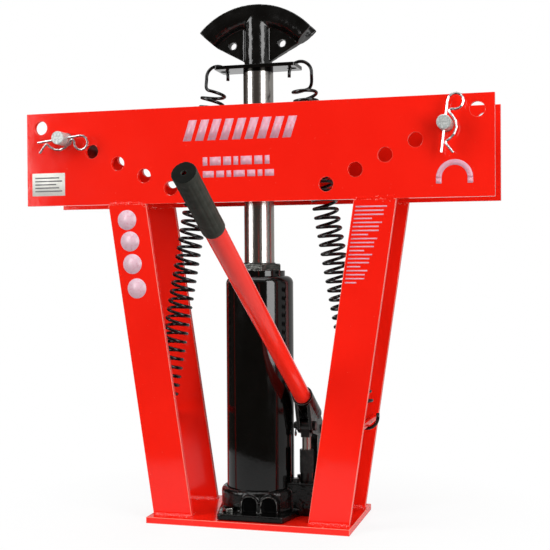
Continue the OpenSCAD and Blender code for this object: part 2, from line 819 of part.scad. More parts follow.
module release_valve() {
    color("dimgray") translate([block_face, 0, valve_z]) rotate([0, 90, 0]) difference() {
        union() {
            translate([0, 0, -release_stem]) cylinder(d = release_stem_d, h = release_stem + pass);
            translate([0, 0, pass]) cylinder(d = release_knob_d, h = release_knob_h);
        }
        for (turn = [0, 90]) rotate(turn)
            translate([0, 0, pass + release_knob_h])
                cube([release_knob_d + 2 * over, release_slot_w, 2 * release_slot_depth], center = true);
        translate([0, 0, -release_stem / 2 - release_ring_r])
            ring(release_stem_d + over, release_stem_d - 2 * release_ring_r, 2 * release_ring_r);
    }
}
module release_seal() {
    color("dimgray") translate([block_face - release_stem / 2 - release_ring_r + fit, 0, valve_z])
        rotate([0, 90, 0])
            ring(release_stem_d, release_stem_d - 2 * release_ring_r + 2 * fit, 2 * release_ring_r - 2 * fit);
}
module release_ball() {
    color("silver") translate([block_face - release_stem - release_nose / 2, 0, valve_z])
        sphere(d = release_nose - 2 * fit);
}

// Lever: link, socket with two cheeks, and their pins
module rivet(y, z, half_len) {
    color("dimgray") translate([pump_x, y, z]) {
        bar_x(lever_pin_d, 2 * half_len);
        for (side = [-1, 1])
            translate([side * (half_len + rivet_head_t / 2), 0, 0]) bar_x(rivet_head_d, rivet_head_t);
    }
}
module link_pin() { rivet(lever_arm, link_pin_z, link_t / 2 + pass + ear_t); }
module fulcrum_pin() { rivet(lever_arm, fulcrum_z, cheek_out); }
module swing_link() {
    color("silver") difference() {
        sideways(pump_x - link_t / 2, link_t)
            pad([[lever_arm, link_pin_z], [lever_arm, fulcrum_z]], link_eye_r);
        for (z = [link_pin_z, fulcrum_z])
            translate([pump_x, lever_arm, z]) bar_x(lever_pin_d + 2 * run_fit, link_t + 2 * over);
    }
}
// Places children on the handle's axis, with +Z out along the handle
module on_axis() {
    translate([pump_x, 0, axis_z]) rotate([90 - handle_slope, 0, 0]) children();
}
// Point of the lever's plane at a distance along the handle's axis and above it
function axis_point(along, above) = [0, axis_z]
    + along * [-cos(handle_slope), sin(handle_slope)]
    + above * [sin(handle_slope), cos(handle_slope)];
module slot(c) {
    pad([c + [-slot_reach, 0], c], lever_pin_d / 2 + slot_lift);
}
module handle_socket() {
    pin_c = [0, plunger_pin_z];
    fulcrum_c = [lever_arm, fulcrum_z];
    front_c = axis_point(socket_mouth / 2, -socket_d / 2 + cheek_r);
    back_c = axis_point(-socket_back + cheek_r, -socket_d / 2 + cheek_r);
    color("black") difference() {
        union() {
            on_axis() translate([0, 0, -socket_back]) cylinder(d = socket_d, h = socket_back + socket_mouth);
            for (x = [-cheek_out, cheek_in]) sideways(pump_x + x, cheek_t) {
                pad([pin_c, fulcrum_c, back_c, front_c], cheek_r);
            }
        }
        on_axis() translate([0, 0, handle_from]) cylinder(d = handle_d + 2 * run_fit, h = handle_len);
        sideways(pump_x - socket_d, 2 * socket_d) slot(pin_c);
        translate([pump_x, lever_arm, fulcrum_z]) bar_x(lever_pin_d + 2 * fit, 2 * socket_d);
    }
}
plunger_pin_left = cheek_out + pass + washer_t + 2 * cotter_in;
module plunger_pin() {
    head_x = cheek_out + pass;
    color("dimgray") translate([pump_x, 0, plunger_pin_z]) difference() {
        union() {
            translate([-plunger_pin_left, 0, 0]) rotate([0, 90, 0])
                cylinder(d = lever_pin_d, h = plunger_pin_left + head_x);
            translate([head_x + rivet_head_t / 2, 0, 0]) bar_x(rivet_head_d, rivet_head_t);
        }
        translate([-plunger_pin_left + cotter_in, 0, 0])
            cylinder(d = cotter_d + 2 * run_fit, h = 2 * head_r, center = true);
    }
}
module plunger_pin_washer() {
    color("dimgray") translate([pump_x - cheek_out - pass / 2 - washer_t, 0, plunger_pin_z])
        rotate([0, 90, 0]) ring(washer_d, lever_pin_d + 2 * run_fit, washer_t);
}
module plunger_pin_cotter() {
    color("silver")
        translate([pump_x - plunger_pin_left + cotter_in, 0, plunger_pin_z + cotter_leg / 2])
            rotate([0, 90, 0]) bent_wire(cotter_d, [
                [cotter_leg, cotter_eye_r, -45],
                [cotter_eye_r, cotter_eye_r, 270]
            ]);
}

// Handle
module handle_tube() {
    color("red") on_axis() translate([0, 0, handle_from])
        ring(handle_d, handle_d - 2 * handle_wall, handle_len);
}
module handle_grip() {
    grip_from = handle_from + handle_len + grip_cap - grip_len;
    color("dimgray") on_axis() translate([0, 0, grip_from]) difference() {
        cylinder(d = grip_d, h = grip_len);
        translate([0, 0, -over])
            cylinder(d = handle_d + 2 * grip_fit, h = grip_len - grip_cap + over);
        cylinder(d = grip_hole_d, h = grip_len + over);
        for (i = [0:flute_count - 1]) rotate(360 * i / flute_count)
            translate([grip_d / 2 + flute_r - flute_depth, 0, flute_end])
                cylinder(r = flute_r, h = grip_len - 2 * flute_end);
    }
}

// Roller pins, clips and rollers
module roller_pin(side, angle) {
    head_y = outer_y + pass;
    tip_y = -outer_y - pin_reach;
    color("silver") translate([side * pin_at[0], 0, pin_at[1]]) difference() {
        union() {
            translate([0, head_y, 0]) rotate([90, 0, 0])
                cylinder(d = pin_d, h = head_y - tip_y - pin_chamfer);
            translate([0, tip_y + pin_chamfer, 0]) rotate([90, 0, 0])
                cylinder(d1 = pin_d, d2 = pin_d - 2 * pin_chamfer, h = pin_chamfer);
            translate([0, head_y + pin_head_t / 2, 0]) bar_y(pin_head_d, pin_head_t);
        }
        translate([0, -outer_y - clip_stand, 0]) rotate([0, -angle, 0]) bar_x(clip_hole_d, 2 * pin_d);
    }
}
module left_roller_pin() { roller_pin(-1, left_clip_angle); }
module right_roller_pin() { roller_pin(1, right_clip_angle); }
module retaining_clip(side, angle) {
    loop_back = clip_loop_r - clip_wire_d - pass - clip_bend_r;
    color("silver") translate([side * pin_at[0], -outer_y - clip_stand, pin_at[1]])
        rotate([0, -angle, 0]) rotate([90, 0, 0]) translate([clip_pin_drop - clip_leg, 0, 0])
            bent_wire(clip_wire_d, [
                [clip_leg, clip_loop_r, -clip_loop_turn],
                [loop_back, clip_bend_r, clip_neck_turn],
                [clip_neck, clip_bulge_r, -clip_bulge_turn],
                [clip_return, clip_bend_r, clip_tail_turn],
                [clip_tail, 0, 0]
            ]);
}
module left_retaining_clip() { retaining_clip(-1, left_clip_angle); }
module right_retaining_clip() { retaining_clip(1, right_clip_angle); }
roller_len = plate_gap - 2 * roller_side_play;
module roller(side) {
    waist_half = roller_len / 2 - roller_rim;
    hollow_r = (waist_half * waist_half + roller_hollow * roller_hollow) / (2 * roller_hollow);
    color("black") translate([side * pin_at[0], 0, pin_at[1]]) rotate([90, 0, 0]) rotate_extrude()
        difference() {
            translate([pin_d / 2 + run_fit, -roller_len / 2])
                square([roller_d / 2 - pin_d / 2 - run_fit, roller_len]);
            translate([roller_d / 2 - roller_hollow + hollow_r, 0]) circle(hollow_r, $fn = 96);
        }
}
module left_roller() { roller(-1); }
module right_roller() { roller(1); }

base_plate();
front_side_plate();
rear_side_plate();
front_left_leg();
front_right_leg();
rear_left_leg();
rear_right_leg();
left_spring_rod();
right_spring_rod();
left_return_spring();
right_return_spring();
jack_base();
jack_bolts();
reservoir_gasket();
reservoir_tube();
oil_filler_plug();
cylinder_tube();
jack_head();
gland_nut();
ram_wiper_seal();
ram();
piston_seal();
spring_plate();
bending_former();
pump_cylinder();
pump_plunger();
plunger_seal();
suction_ball();
delivery_ball();
valve_plugs();
release_valve();
release_seal();
release_ball();
link_pin();
swing_link();
handle_socket();
fulcrum_pin();
plunger_pin();
plunger_pin_washer();
plunger_pin_cotter();
handle_tube();
handle_grip();
left_roller_pin();
right_roller_pin();
left_retaining_clip();
right_retaining_clip();
left_roller();
right_roller();
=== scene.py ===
"""Looks of a hydraulic pipe bender: red welded frame, black bottle jack, chromed ram and cast former."""
import json
import math
import random
import bmesh
import bpy
from mathutils import Matrix, Vector, noise


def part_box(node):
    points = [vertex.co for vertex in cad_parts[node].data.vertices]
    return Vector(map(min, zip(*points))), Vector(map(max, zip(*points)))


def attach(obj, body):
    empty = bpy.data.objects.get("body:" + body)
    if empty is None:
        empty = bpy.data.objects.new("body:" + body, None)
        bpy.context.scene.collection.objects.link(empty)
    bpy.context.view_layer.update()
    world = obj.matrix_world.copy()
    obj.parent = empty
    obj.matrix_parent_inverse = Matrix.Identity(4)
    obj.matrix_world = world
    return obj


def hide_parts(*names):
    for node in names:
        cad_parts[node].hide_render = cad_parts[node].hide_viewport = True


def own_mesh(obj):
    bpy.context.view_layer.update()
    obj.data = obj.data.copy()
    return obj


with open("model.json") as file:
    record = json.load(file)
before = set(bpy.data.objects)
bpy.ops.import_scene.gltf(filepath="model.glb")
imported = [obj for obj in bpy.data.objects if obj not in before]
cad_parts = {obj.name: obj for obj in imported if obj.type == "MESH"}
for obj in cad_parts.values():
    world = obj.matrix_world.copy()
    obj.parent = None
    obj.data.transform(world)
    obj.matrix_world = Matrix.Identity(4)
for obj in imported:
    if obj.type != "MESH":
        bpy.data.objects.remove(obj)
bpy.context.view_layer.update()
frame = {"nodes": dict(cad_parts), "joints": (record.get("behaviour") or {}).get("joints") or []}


# Camera. It stands to the right of the machine's front at half its height and looks almost level.
# The lens is long, so the uprights stay nearly parallel.
camera_place = Vector((0.38575, -1.29267, 0.32720))
camera_yaw = math.radians(15.78)
camera_pitch = math.radians(-0.74)
camera_roll = math.radians(-0.37)
image_px = 550
focal_px = 1053.66
sensor = 36.0
ahead = Vector((-math.sin(camera_yaw) * math.cos(camera_pitch),
                math.cos(camera_yaw) * math.cos(camera_pitch),
                math.sin(camera_pitch)))
level_right = ahead.cross(Vector((0, 0, 1))).normalized()
level_up = level_right.cross(ahead)
camera_right = math.cos(camera_roll) * level_right + math.sin(camera_roll) * level_up
camera_up = math.cos(camera_roll) * level_up - math.sin(camera_roll) * level_right
camera = bpy.data.objects.new("camera", bpy.data.cameras.new("camera"))
camera.data.sensor_width = sensor
camera.data.lens = focal_px / image_px * sensor
turned_camera = Matrix((camera_right, camera_up, -ahead)).transposed().to_4x4()
camera.matrix_world = Matrix.Translation(camera_place) @ turned_camera
bpy.context.scene.collection.objects.link(camera)
bpy.context.scene.camera = camera
bpy.context.scene.view_settings.view_transform = "Standard"


# Studio. The machine stands on a round white table, and the room in front of it is dark.
# A tall softbox stands on each side of the front, the left one higher, and a wide one hangs overhead.
# The wall behind is white, the one to the right is grey, and a lamp without gloss fills the back.
table_r = 0.47
table_middle = (-0.045, 0, 0)
table_sides = 96
table_colour = (0.9, 0.9, 0.9, 1)
table_glow = 1.0
table_mirrored_glow = 0.54
shadow_share = 0.14
shadow_near = 0.15
shadow_far = 0.40
room_dark = (0.060, 0.050, 0.042, 1)
room_white = (1.0, 1.0, 1.0, 1)
right_wall_way = (0.707, 0.707, 0)
right_wall_share = 0.42
right_wall_rim = {"From_Min": 0.3, "From_Max": 0.6}
back_wall_rim = {"From_Min": 0.94, "From_Max": 0.985}
overhead_share = 0.28
overhead_rim = {"From_Min": 0.35, "From_Max": 0.8}
room_on_matt = 0.32
room_on_gloss = 1.0
softbox_reach = 1.55
softbox_left = {"angle": -52, "width": 0.77, "low": 0.30, "watts": 23.0}
softbox_right = {"angle": 54, "width": 0.72, "low": 0.05, "watts": 22.5}
softbox_h = 1.5
overhead_place = (0, -0.2, 1.9)
overhead_side = 1.4
overhead_watts = 15.0
back_place = (0, 1.6, 0.8)
back_side = 1.4
back_watts = 15.0


def add(tree, kind, **settings):
    """Adds a node. Settings that are the node's own properties are set, and the rest are input values."""
    made = tree.nodes.new("ShaderNode" + kind)
    for key, value in settings.items():
        if hasattr(made, key):
            setattr(made, key, value)
        else:
            made.inputs[key.replace("_", " ").title()].default_value = value
    return made


def softbox(name, place, aim, width, height, watts):
    """A lamp with a flat white front, aimed at a point and hidden from the camera."""
    lamp = bpy.data.lights.new(name, "AREA")
    lamp.shape = "RECTANGLE"
    lamp.size = width
    lamp.size_y = height
    lamp.energy = watts
    lamp_object = bpy.data.objects.new(name, lamp)
    facing = (Vector(aim) - Vector(place)).to_track_quat("-Z", "Y")
    lamp_object.matrix_world = Matrix.Translation(place) @ facing.to_matrix().to_4x4()
    lamp_object.visible_camera = False
    bpy.context.scene.collection.objects.link(lamp_object)
    return lamp_object


for name, box in (("softbox_left", softbox_left), ("softbox_right", softbox_right)):
    side = math.radians(box["angle"])
    middle = box["low"] + softbox_h / 2
    stand = (softbox_reach * math.sin(side), -softbox_reach * math.cos(side), middle)
    softbox(name, stand, (0, 0, middle), box["width"], softbox_h, box["watts"])
softbox("softbox_overhead", overhead_place, (0, 0, 0), overhead_side, overhead_side, overhead_watts)
back_fill = softbox("back_fill", back_place, (0, 0, back_place[2]), back_side, back_side, back_watts)
back_fill.visible_glossy = False

bm = bmesh.new()
bmesh.ops.create_circle(bm, cap_ends=True, segments=table_sides, radius=table_r,
                        matrix=Matrix.Translation(table_middle))
table = bpy.data.objects.new("studio_table", bpy.data.meshes.new("studio_table"))
bm.to_mesh(table.data)
bm.free()
bpy.context.scene.collection.objects.link(table)
table_finish = bpy.data.materials.new("white_table")
table_finish.use_nodes = True
tree = table_finish.node_tree
tree.nodes.clear()
spot = add(tree, "TexCoord")
away = add(tree, "VectorMath", operation="LENGTH")
fade = add(tree, "MapRange", From_Min=shadow_near, From_Max=shadow_far, To_Min=1 - shadow_share, To_Max=1.0)
rays = add(tree, "LightPath")
seen = add(tree, "Math", operation="MAXIMUM")
mirrored = add(tree, "Math", operation="MAXIMUM")
share = add(tree, "Math", operation="MULTIPLY")
paper = add(tree, "BsdfDiffuse", Color=table_colour)
glow = add(tree, "Emission", Color=room_white)
strength = add(tree, "MapRange", To_Min=table_glow, To_Max=table_mirrored_glow)
mix = add(tree, "MixShader")
surface = add(tree, "OutputMaterial")
tree.links.new(spot.outputs["Object"], away.inputs[0])
tree.links.new(away.outputs["Value"], fade.inputs["Value"])
tree.links.new(rays.outputs["Is Camera Ray"], seen.inputs[0])
tree.links.new(rays.outputs["Is Glossy Ray"], seen.inputs[1])
tree.links.new(seen.outputs[0], mirrored.inputs[0])
tree.links.new(rays.outputs["Is Transmission Ray"], mirrored.inputs[1])
tree.links.new(fade.outputs["Result"], share.inputs[0])
tree.links.new(mirrored.outputs[0], share.inputs[1])
tree.links.new(share.outputs[0], mix.inputs[0])
tree.links.new(rays.outputs["Is Glossy Ray"], strength.inputs["Value"])
tree.links.new(strength.outputs["Result"], glow.inputs["Strength"])
tree.links.new(paper.outputs[0], mix.inputs[1])
tree.links.new(glow.outputs[0], mix.inputs[2])
tree.links.new(mix.outputs[0], surface.inputs["Surface"])
table.data.materials.append(table_finish)

world = bpy.data.worlds.new("studio")
bpy.context.scene.world = world
world.use_nodes = True
tree = world.node_tree
tree.nodes.clear()
way = add(tree, "TexCoord")
parts = add(tree, "SeparateXYZ")
rightward = add(tree, "VectorMath", operation="DOT_PRODUCT")
rightward.inputs[1].default_value = right_wall_way
backward = add(tree, "VectorMath", operation="DOT_PRODUCT")
backward.inputs[1].default_value = (ahead.x, ahead.y, 0)
right_wall = add(tree, "MapRange", interpolation_type="SMOOTHSTEP", To_Max=right_wall_share,
                 **right_wall_rim)
back_wall = add(tree, "MapRange", interpolation_type="SMOOTHSTEP", **back_wall_rim)
overhead = add(tree, "MapRange", interpolation_type="SMOOTHSTEP", To_Max=overhead_share, **overhead_rim)
walls = add(tree, "Math", operation="MAXIMUM")
lighter = add(tree, "Math", operation="MAXIMUM")
room = add(tree, "Mix", data_type="RGBA")
room.inputs[6].default_value = room_dark
room.inputs[7].default_value = room_white
rays = add(tree, "LightPath")
strength = add(tree, "MapRange", To_Min=room_on_matt, To_Max=room_on_gloss)
unlit = add(tree, "Background")
white = add(tree, "Background", Color=room_white)
mix = add(tree, "MixShader")
surface = add(tree, "OutputWorld")
tree.links.new(way.outputs["Generated"], parts.inputs[0])
tree.links.new(way.outputs["Generated"], rightward.inputs[0])
tree.links.new(way.outputs["Generated"], backward.inputs[0])
tree.links.new(rightward.outputs["Value"], right_wall.inputs["Value"])
tree.links.new(backward.outputs["Value"], back_wall.inputs["Value"])
tree.links.new(parts.outputs["Z"], overhead.inputs["Value"])
tree.links.new(right_wall.outputs["Result"], walls.inputs[0])
tree.links.new(back_wall.outputs["Result"], walls.inputs[1])
tree.links.new(walls.outputs[0], lighter.inputs[0])
tree.links.new(overhead.outputs["Result"], lighter.inputs[1])
tree.links.new(lighter.outputs[0], room.inputs[0])
tree.links.new(room.outputs[2], unlit.inputs["Color"])
tree.links.new(rays.outputs["Is Glossy Ray"], strength.inputs["Value"])
tree.links.new(strength.outputs["Result"], unlit.inputs["Strength"])
tree.links.new(rays.outputs["Is Camera Ray"], mix.inputs[0])
tree.links.new(unlit.outputs[0], mix.inputs[1])
tree.links.new(white.outputs[0], mix.inputs[2])
tree.links.new(mix.outputs[0], surface.inputs["Surface"])


# Frame. Two side plates, four flat legs and a base plate, cut from 6 and 8 mm steel and welded together.
# The whole frame is sprayed bright red: a thick gloss coat that thins and pales on the sheared edges, and
# the pale edge colour is also a painted highlight along them.
red = (0.87, 0.0112, 0.0042, 1)
red_light = (0.90, 0.0140, 0.0056, 1)
red_edge_pale_and_highlight = (0.93, 0.20, 0.15, 1)
red_dust = (0.90, 0.12, 0.09, 1)
red_clouds = {"scale": 9, "low": 0.35, "high": 0.65}
red_dust_grains = {"scale": 420, "low": 0.78, "high": 0.85, "detail": 1.0}
red_gloss = {"scale": 30, "least": 0.09, "most": 0.14}
red_grain = {"scale": 260, "depth": 0.00003}
red_peel = {"scale": 38, "depth": 0.00014, "detail": 1.0}
gloss_span = (0.3, 0.7)
dent_span = (0.2, 0.8)
plate_edge = 0.0007
edge_segments = 2
sharp_edge = math.radians(28)
flat_enough = math.radians(0.4)
same_place = 2e-6
flat_weight = 100
frame_pieces = ("base_plate", "front_side_plate", "rear_side_plate",
                "front_left_leg", "front_right_leg", "rear_left_leg", "rear_right_leg")


def coat(name, **settings):
    """A material with its shader's plain settings made, ready for its patterns."""
    material = bpy.data.materials.new(name)
    material.use_nodes = True
    shader = material.node_tree.nodes["Principled BSDF"]
    for key, value in settings.items():
        shader.inputs[key.replace("_", " ")].default_value = value
    return material, material.node_tree, shader


def speckle(tree, scale, low, high, detail=2.0, stretch=(1, 1, 1), pattern="TexNoise"):
    """Noise over the piece's own coordinates, spread so that low becomes 0 and high becomes 1."""
    place = add(tree, "TexCoord")
    turn = add(tree, "Mapping")
    turn.inputs["Scale"].default_value = stretch
    grain = add(tree, pattern, Scale=scale)
    if pattern == "TexNoise":
        grain.inputs["Detail"].default_value = detail
    spread = add(tree, "MapRange", From_Min=low, From_Max=high)
    tree.links.new(place.outputs["Object"], turn.inputs["Vector"])
    tree.links.new(turn.outputs["Vector"], grain.inputs["Vector"])
    tree.links.new(grain.outputs[0], spread.inputs["Value"])
    return spread.outputs["Result"]


def tint(tree, share, first, second):
    """Colour between two, by a share. Either colour is a value or another node's output."""
    blend = add(tree, "Mix", data_type="RGBA")
    tree.links.new(share, blend.inputs[0])
    for socket, colour in ((blend.inputs[6], first), (blend.inputs[7], second)):
        if isinstance(colour, tuple):
            socket.default_value = colour
        else:
            tree.links.new(colour, socket)
    return blend.outputs[2]


def between(tree, share, low, high):
    """Number between two, by a share."""
    spread = add(tree, "MapRange", To_Min=low, To_Max=high)
    tree.links.new(share, spread.inputs["Value"])
    return spread.outputs["Result"]


def uneven_gloss(tree, shader, scale, least, most):
    """Roughness that changes in patches."""
    patches = speckle(tree, scale, *gloss_span)
    tree.links.new(between(tree, patches, least, most), shader.inputs["Roughness"])


def dent(tree, shader, scale, depth, **grain):
    """Bumps of a real depth, laid over any bumps that the shader already has."""
    bump = add(tree, "Bump", Strength=1.0, Distance=depth)
    tree.links.new(speckle(tree, scale, *dent_span, **grain), bump.inputs["Height"])
    if shader.inputs["Normal"].is_linked:
        tree.links.new(shader.inputs["Normal"].links[0].from_socket, bump.inputs["Normal"])
    tree.links.new(bump.outputs["Normal"], shader.inputs["Normal"])


def edge_share(tree):
    """The share that the edge attribute carries: 1 on a rounded edge and 0 on a face. Some pieces also mark
    painted highlight or painted shade with it.
    """
    mark = add(tree, "Attribute", attribute_name="edge")
    return mark.outputs["Fac"]


red_paint, tree, shader = coat("red_frame_paint", Specular_IOR_Level=0.5)
clouds = tint(tree, speckle(tree, **red_clouds), red, red_light)
dusted = tint(tree, speckle(tree, **red_dust_grains), clouds, red_dust)
# Rounded edges are tinted pale: partly paint thinned on the sheared edges, partly painted highlight.
worn = tint(tree, edge_share(tree), dusted, red_edge_pale_and_highlight)
tree.links.new(worn, shader.inputs["Base Color"])
uneven_gloss(tree, shader, **red_gloss)
dent(tree, shader, **red_grain)
dent(tree, shader, **red_peel)


def round_edges(bm, radius):
    """Rounds the sharp edges and marks the new faces as edge."""
    mark = bm.faces.layers.float.new("edge")
    edges = [e for e in bm.edges if e.is_manifold and e.calc_face_angle() > sharp_edge]
    made = bmesh.ops.bevel(bm, geom=edges, offset=radius, offset_type="OFFSET", segments=edge_segments,
                           profile=0.5, affect="EDGES", material=-1, clamp_overlap=True)
    for face in made["faces"]:
        face[mark] = 1.0


def merged(node):
    """A node's shape as one closed mesh, with its flat faces whole."""
    bm = bmesh.new()
    bm.from_mesh(frame["nodes"][node].data)
    bmesh.ops.remove_doubles(bm, verts=bm.verts, dist=same_place)
    bmesh.ops.dissolve_limit(bm, angle_limit=flat_enough, verts=bm.verts, edges=bm.edges)
    return bm


def piece(name, bm, body, finish, stands_for=()):
    """Makes an object of a mesh, with its finish, the body that carries it and the nodes it stands for."""
    mesh = bpy.data.meshes.new(name)
    bm.to_mesh(mesh)
    bm.free()
    for face in mesh.polygons:
        face.use_smooth = True
    mesh.materials.append(finish)
    made = bpy.data.objects.new(name, mesh)
    bpy.context.scene.collection.objects.link(made)
    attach(made, body)
    if stands_for:
        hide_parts(*stands_for)
    return made


def weigh_normals(made):
    """Keeps flat faces flat beside rounded edges."""
    weighted = made.modifiers.new("flat_faces", "WEIGHTED_NORMAL")
    weighted.mode = "FACE_AREA"
    weighted.weight = flat_weight


def eased(node, body, finish, radius):
    """The node's own shape with its sharp edges eased."""
    bm = merged(node)
    round_edges(bm, radius)
    weigh_normals(piece(node + "_eased", bm, body, finish, (node,)))


for node in frame_pieces:
    eased(node, "frame", red_paint, plate_edge)


# Spring rods. Round bars welded across each pair of legs, under the same red paint.
# The lower hooks of the return springs hang on them.
spring_rods = ("left_spring_rod", "right_spring_rod")


def coated(node, finish):
    """The node's own solid under a finish."""
    frame["nodes"][node].data.materials.clear()
    frame["nodes"][node].data.materials.append(finish)


for node in spring_rods:
    coated(node, red_paint)


# Weld runs. Each leg is welded to its side plate across its head and to the base plate along its foot.
# The runs have close bowed ripples under the red paint, and grains of spatter lie beside them, tinted pale
# as painted highlight.
bead_sides = 14
bead_step = 0.0009
bead_pitch = 0.0036
bead_ripple = 0.13
bead_bow = 0.30
bead_lump = 0.20
bead_lump_size = 190
bead_blunt = 0.35
head_bead = {"width": 0.0070, "rise": 0.0002, "sink": 0.0012}
foot_bead = {"width": 0.0080, "rise": 0.0022, "sink": 0.0}
head_bead_up = 0.0012
leg_width = 0.0515
spatter_grains = 13
spatter_least = 0.00025
spatter_most = 0.00085
spatter_painted_highlight = 0.80
head_spatter_shares = (-0.6, 0.7)
foot_spatter_shares = (0.55, 1.7)
luck = random.Random(11)


def weld_run(bm, start, end, out, width, rise, sink):
    """A run of weld along a seam: a long drop with bowed ripples, partly sunk in the plate."""
    run = end - start
    along = run.normalized()
    across = along.cross(out)
    first = len(bm.verts)
    tube = bmesh.ops.create_cone(bm, cap_ends=True, segments=bead_sides, radius1=1, radius2=1,
                                 depth=run.length)
    rails = {e for v in tube["verts"] for e in v.link_edges
             if abs(e.verts[0].co.z - e.verts[1].co.z) > run.length / 2}
    bmesh.ops.subdivide_edges(bm, edges=list(rails), cuts=round(run.length / bead_step))
    bm.verts.ensure_lookup_table()
    for vertex in bm.verts[first:]:
        side, up = vertex.co.x, vertex.co.y
        s = vertex.co.z + run.length / 2
        taper = min(1.0, bead_blunt + 2 * (1 - bead_blunt) * min(s, run.length - s) / width)
        lump = bead_lump * noise.noise((start + along * s) * bead_lump_size)
        ripple = bead_ripple * math.sin(2 * math.pi * (s + bead_bow * width * side * side) / bead_pitch)
        vertex.co = (start + along * s + across * (side * width / 2 * taper * (1 + lump))
                     + out * (up * (rise + sink) * taper * (1 + lump + ripple) - sink))


def spatter(bm, mark, start, end, side, width, shares):
    """Grains of weld metal that stuck to the plate beside a run, tinted pale as painted highlight."""
    for _ in range(spatter_grains):
        place = start.lerp(end, luck.random()) + side * width * luck.uniform(*shares)
        radius = luck.uniform(spatter_least, spatter_most)
        grain = bmesh.ops.create_icosphere(bm, subdivisions=1, radius=radius,
                                           matrix=Matrix.Translation(place))
        for face in {f for v in grain["verts"] for f in v.link_faces}:
            face[mark] = spatter_painted_highlight


bm = bmesh.new()
mark = bm.faces.layers.float.new("edge")
leg_low, leg_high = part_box("front_right_leg")
for side in (-1, 1):
    for y, outward in ((leg_low.y, -1), (leg_high.y, 1), (-leg_high.y, -1), (-leg_low.y, 1)):
        out = Vector((0, outward, 0))
        head = [Vector((side * x, y, leg_high.z + head_bead_up))
                for x in (leg_high.x - leg_width, leg_high.x)]
        foot = [Vector((side * x, y, leg_low.z)) for x in (leg_low.x, leg_low.x + leg_width)]
        weld_run(bm, *head, out, **head_bead)
        spatter(bm, mark, *head, Vector((0, 0, -1)), head_bead["width"], head_spatter_shares)
        weld_run(bm, *foot, (out + Vector((0, 0, 1))).normalized(), **foot_bead)
        spatter(bm, mark, *foot, out, foot_bead["width"], foot_spatter_shares)
bmesh.ops.recalc_face_normals(bm, faces=bm.faces)
piece("weld_runs", bm, "frame", red_paint)


# Printed marks. Plain bars, dashes, discs and ruled lines are screened on the front in pale pink ink.
# A white paper label with grey ruled lines is stuck on near the left end.
ink = (0.70, 0.35, 0.44, 1)
ink_thin = (0.76, 0.25, 0.29, 1)
ink_pale = (0.76, 0.52, 0.60, 1)
ink_t = 0.00008
ink_roughness = 0.32
paper_roughness = 0.45
rule_roughness = 0.5
printed_patches = {"scale": 380, "low": 0.52, "high": 0.72, "detail": 3.0}
printed_grain = {"scale": 260, "depth": 0.00003}
paper_white = (0.86, 0.86, 0.80, 1)
paper_shade = (0.77, 0.77, 0.71, 1)
rule_grey = (0.16, 0.16, 0.16, 1)
rule_grey_light = (0.30, 0.30, 0.30, 1)
bars = {"left": -0.079, "right": 0.066, "low": 0.478, "high": 0.504,
        "count": 9, "lean": 0.32, "share": 0.66}
dash_rows = ({"left": -0.057, "right": 0.033, "middle": 0.4520, "height": 0.0105},
             {"left": -0.057, "right": 0.035, "middle": 0.4360, "height": 0.0080})
dash_least = 0.0060
dash_more = 0.0042
dash_gap = 0.0032
dash_lengths = 3
arch_centre = Vector((0.2535, 0, 0.4235))
arch_outer = 0.0215
arch_inner = 0.0150
arch_foot_h = 0.0065
arch_steps = 24
disc_places = ((-0.1597, 0.3810), (-0.1558, 0.3537), (-0.1527, 0.3250), (-0.1468, 0.2940))
disc_r = 0.01275
disc_sides = 48
line_count = 20
line_top = 0.3920
line_foot = 0.3010
line_h = 0.0017
line_in = 0.0035
line_top_len = 0.0380
line_foot_len = 0.0230
line_short_shares = (1.0, 0.93, 0.97, 0.62)
label = {"left": -0.2927, "right": -0.2460, "low": 0.4140, "high": 0.4435}
label_rules = 5
label_margin = 0.0040
rule_lengths = 3
rule_low_share = 0.3
rule_h_share = 0.4
face_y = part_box("front_side_plate")[0].y


def printed(name, first, second, roughness):
    """A thin layer of ink or paper, thinner in small patches."""
    material, tree, shader = coat(name, Roughness=roughness)
    tree.links.new(tint(tree, speckle(tree, **printed_patches), first, second), shader.inputs["Base Color"])
    dent(tree, shader, **printed_grain)
    return material


def on_face(x, z, w=1.0, h=1.0, lean=0.0):
    """Lays a flat shape of unit size on the front face, at a place and size, leaning to the right."""
    return Matrix(((w, lean * h, 0, x), (0, 0, -1, face_y), (0, h, 0, z), (0, 0, 0, 1)))


def bar(bm, left, right, low, high, lean=0.0):
    """A flat bar on the front face."""
    placed = on_face((left + right) / 2, (low + high) / 2, right - left, high - low, lean)
    bmesh.ops.create_grid(bm, x_segments=1, y_segments=1, size=0.5, matrix=placed)


def raised(bm):
    """Gives flat shapes on the front face the thickness of their layer."""
    grown = bmesh.ops.extrude_face_region(bm, geom=bm.faces[:])["geom"]
    front = [g for g in grown if isinstance(g, bmesh.types.BMVert)]
    bmesh.ops.translate(bm, vec=(0, -ink_t, 0), verts=front)
    bmesh.ops.recalc_face_normals(bm, faces=bm.faces)
    return bm


